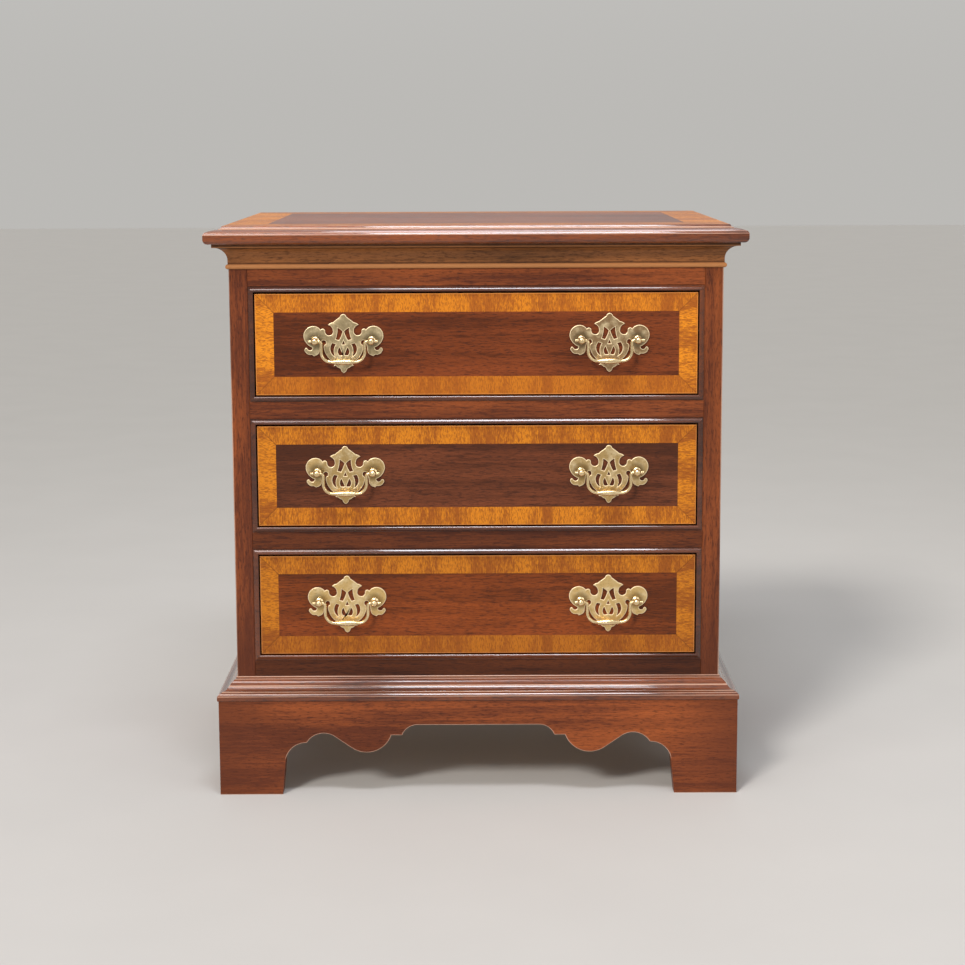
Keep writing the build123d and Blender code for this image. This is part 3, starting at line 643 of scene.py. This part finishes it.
class CHEST_OT_mouldings(bpy.types.Operator):
    """Make the mouldings and the scrolled base with eased, rubbed edges, painted pale also as a highlight"""

    bl_idname = "chest.make_mouldings"
    bl_label = "Make Mouldings and Base"

    def execute(self, context):
        wood = context.scene.chest_wood
        for run, grain in RUN_GRAINS.items():
            for moulding, shade in MOULDING_SHADES.items():
                node = f"{moulding}_{run}"
                polish = {"shade": shade, "base_rough": MOULDING_ROUGH, "coat": MOULDING_COAT}
                polished = mahogany(node, wood, grain, **polish)
                shape = copy_of_node(node)
                ease(shape, lambda edge: is_along(edge, grain), wood.edge_ease)
                finish_piece(shape, f"eased_{node}", polished, "case", [node])
            self.bracket(wood, run, grain)
        return {"FINISHED"}

    def bracket(self, wood, run, grain):
        """Scrolled board of the base with the front edge of its scroll rubbed."""
        node = f"{run}_bracket"
        # Painted shade towards the ends of the front bracket
        painted_shade = FRONT_BRACKET_PAINTED_SHADE if run == "front" else None
        board = mahogany(f"base_{run}", wood, grain, shade=BRACKET_SHADES[run], wear=SCROLL_WEAR, painted_shade=painted_shade)
        low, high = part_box(node)
        outward = "y" if run == "front" else "x"
        face = getattr(high if run == "right" else low, outward)
        shape = copy_of_node(node)
        ease(shape, lambda edge: on_scroll(edge, outward, face, high.z), wood.scroll_ease)
        finish_piece(shape, f"eased_{node}", board, "case", [node])


class CHEST_OT_inside(bpy.types.Operator):
    """Finish the bare wood behind the face frame"""

    bl_idname = "chest.finish_inside"
    bl_label = "Finish Inside"

    def execute(self, context):
        wood = context.scene.chest_wood
        deep = inner_wood("inner_wood_deep", wood, "y")
        level = inner_wood("inner_wood_across", wood, "x")
        upright = inner_wood("inner_wood_upright", wood, "z")
        for node in ("drawer_runners", "drawer_stops", "top_cleats"):
            dress(node, deep)
        for node in ("bottom_board", "rear_feet"):
            dress(node, level)
        dress("glue_blocks", upright)
        dress("back_panel", upright)
        dress("dust_panels", level)
        for drawer in DRAWERS:
            dress(f"{drawer}_drawer_sides", deep)
            dress(f"{drawer}_drawer_back", level)
            dress(f"{drawer}_drawer_bottom", level)
        return {"FINISHED"}


class CHEST_OT_fronts(bpy.types.Operator):
    """Finish the drawer fronts and their crossbanding"""

    bl_idname = "chest.finish_fronts"
    bl_label = "Finish Drawer Fronts"

    def execute(self, context):
        wood = context.scene.chest_wood
        fields = {"lower": wood.lower_field, "middle": wood.middle_field, "upper": wood.upper_field}
        for drawer, light in fields.items():
            field = mahogany(f"{drawer}_field", wood, "x", light)
            dress(f"{drawer}_drawer_front", field)
            node = f"{drawer}_drawer_banding"
            look = {"dull": BAND_PAINTED_SHADES[drawer], "shade": BAND_SHADES[drawer]}
            dress(node, crossbanding(f"{drawer}_crossbanding", wood, node, "xz", **look))
        return {"FINISHED"}


class CHEST_OT_plates(bpy.types.Operator):
    """Make the pierced plates with their bevelled rims"""

    bl_idname = "chest.make_plates"
    bl_label = "Make Pull Plates"

    def execute(self, context):
        pull = context.scene.chest_brass
        tones = {"lower": pull.lower_aged, "middle": pull.middle_aged, "upper": pull.upper_aged}
        for drawer, tone in tones.items():
            low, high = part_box(f"{drawer}_right_bail")
            posts = ((low.x + high.x) / 2, pull.post_reach, high.z - pull.wire)
            right_tone = pull.browned if drawer == "upper" else tone
            polish = (PLATE_ROUGH, PLATE_TARNISH)
            aged = brass(f"{drawer}_aged_brass", pull.bright, tone, *polish, posts, right_tone)
            node = f"{drawer}_drawer_backplates"
            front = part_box(node)[0].y
            shape = copy_of_node(node)
            ease(shape, lambda edge: on_face(edge, "y", front), pull.plate_bevel)
            finish_piece(shape, f"{drawer}_pull_plates", aged, f"{drawer}_drawer", [node])
        return {"FINISHED"}


class CHEST_OT_bails(bpy.types.Operator):
    """Finish the posts and bails"""

    bl_idname = "chest.finish_bails"
    bl_label = "Finish Posts and Bails"

    def execute(self, context):
        pull = context.scene.chest_brass
        handled = brass("bright_brass", pull.bright, pull.middle_aged, BAIL_ROUGH, BAIL_TARNISH)
        for drawer in DRAWERS:
            dress(f"{drawer}_drawer_posts", handled)
            for side in SIDES:
                dress(f"{drawer}_{side}_bail", handled)
        return {"FINISHED"}


class CHEST_OT_stage(bpy.types.Operator):
    """Lay the floor and set the lights and the camera"""

    bl_idname = "chest.set_stage"
    bl_label = "Set Stage"

    def execute(self, context):
        scene = context.scene
        settings = scene.chest_stage
        self.lay_floor(scene, settings)
        self.hang_backdrop(scene, settings)
        sun = bpy.data.lights.new("sun", "SUN")
        sun.energy = SUN_STRENGTH
        sun.angle = SUN_ANGLE
        self.aim(scene, sun, **SUN)
        for name, lamp in LAMPS.items():
            self.set_lamp(scene, name, **lamp)
        self.set_camera(scene, settings)
        scene.view_settings.view_transform = "Standard"
        return {"FINISHED"}

    def lay_floor(self, scene, settings):
        """Wide floor with a faint mottle."""
        shape = bmesh.new()
        bmesh.ops.create_grid(shape, x_segments=1, y_segments=1, size=FLOOR_REACH)
        mesh = mesh_from(shape, "floor")
        ground = Finish("pale_floor")
        mottle = ground.noise((6, 6, 6), detail=4)
        colour = ground.blend(mottle, shaded(settings.floor, 0.94), settings.floor)
        mesh.materials.append(ground.surface(colour, 0.72, Specular_IOR_Level=0.25))
        floor = bpy.data.objects.new("floor", mesh)
        scene.collection.objects.link(floor)

    def hang_backdrop(self, scene, settings):
        """Even light, with a pale backdrop where the camera and the shiny pieces see it."""
        world = bpy.data.worlds.new("studio")
        world.use_nodes = True
        nodes = Nodes(world.node_tree)
        rays = ("Is Camera Ray", "Is Glossy Ray", "Is Transmission Ray")
        camera, glossy, through = [nodes.node("ShaderNodeLightPath", output=ray) for ray in rays]
        seen = camera.larger(glossy).larger(through)
        up = nodes.axis("z", nodes.node("ShaderNodeTexCoord", output="Generated"))
        pale = nodes.blend(nodes.step(up, 0.0, BACKDROP_RISE), settings.horizon, settings.zenith)
        sky = world.node_tree.nodes["Background"]
        nodes.feed(sky.inputs["Color"], nodes.blend(seen, settings.surround, pale))
        scene.world = world

    def aim(self, scene, light, place, target, colour):
        """Hang a coloured light at its place, turned to its target."""
        light.color = colour
        lamp = bpy.data.objects.new(light.name, light)
        lamp.location = place
        lamp.rotation_mode = "QUATERNION"
        lamp.rotation_quaternion = (Vector(target) - Vector(place)).to_track_quat("-Z", "Y")
        scene.collection.objects.link(lamp)

    def set_lamp(self, scene, name, place, target, colour, size, power):
        """Soft rectangular lamp."""
        light = bpy.data.lights.new(name, "AREA")
        light.shape = "RECTANGLE"
        light.size, light.size_y = size
        light.energy = power
        self.aim(scene, light, place, target, colour)

    def set_camera(self, scene, settings):
        """Camera in front of the chest, looking down a little."""
        data = bpy.data.cameras.new("camera")
        data.sensor_width = SENSOR_MILLIMETRES
        data.lens = settings.lens
        data.shift_y = CAMERA_SHIFT
        camera = bpy.data.objects.new("camera", data)
        tilt = Matrix.Rotation(math.pi / 2 - CAMERA_TILT, 4, "X")
        roll = Matrix.Rotation(CAMERA_ROLL, 4, "Z")
        camera.matrix_world = Matrix.Translation(CAMERA_PLACE) @ tilt @ roll
        scene.collection.objects.link(camera)
        scene.camera = camera


class CHEST_PT_panel(bpy.types.Panel):
    """Steps that dress the chest"""

    bl_label = "Bedside Chest"
    bl_idname = "CHEST_PT_panel"
    bl_space_type = "VIEW_3D"
    bl_region_type = "UI"
    bl_category = "Chest"

    def draw(self, context):
        for step in STEPS:
            self.layout.operator(step.bl_idname)
        for group in GROUPS:
            settings = getattr(context.scene, group)
            for name in settings.__annotations__:
                self.layout.prop(settings, name)


GROUPS = {
    "chest_wood": ChestWoodSettings,
    "chest_brass": ChestBrassSettings,
    "chest_stage": ChestStageSettings,
}
STEPS = (
    CHEST_OT_case,
    CHEST_OT_mouldings,
    CHEST_OT_inside,
    CHEST_OT_fronts,
    CHEST_OT_plates,
    CHEST_OT_bails,
    CHEST_OT_stage,
)


def register():
    """Add the settings, the steps and the panel."""
    for group, settings in GROUPS.items():
        bpy.utils.register_class(settings)
        setattr(bpy.types.Scene, group, PointerProperty(type=settings))
    for step in (*STEPS, CHEST_PT_panel):
        bpy.utils.register_class(step)


def unregister():
    """Take the panel, the steps and the settings away."""
    for step in reversed((*STEPS, CHEST_PT_panel)):
        bpy.utils.unregister_class(step)
    for group, settings in GROUPS.items():
        delattr(bpy.types.Scene, group)
        bpy.utils.unregister_class(settings)


def main():
    """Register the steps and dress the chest."""
    register()
    bpy.ops.chest.finish_case()
    bpy.ops.chest.make_mouldings()
    bpy.ops.chest.finish_inside()
    bpy.ops.chest.finish_fronts()
    bpy.ops.chest.make_plates()
    bpy.ops.chest.finish_bails()
    bpy.ops.chest.set_stage()


if __name__ == "__main__":
    main()
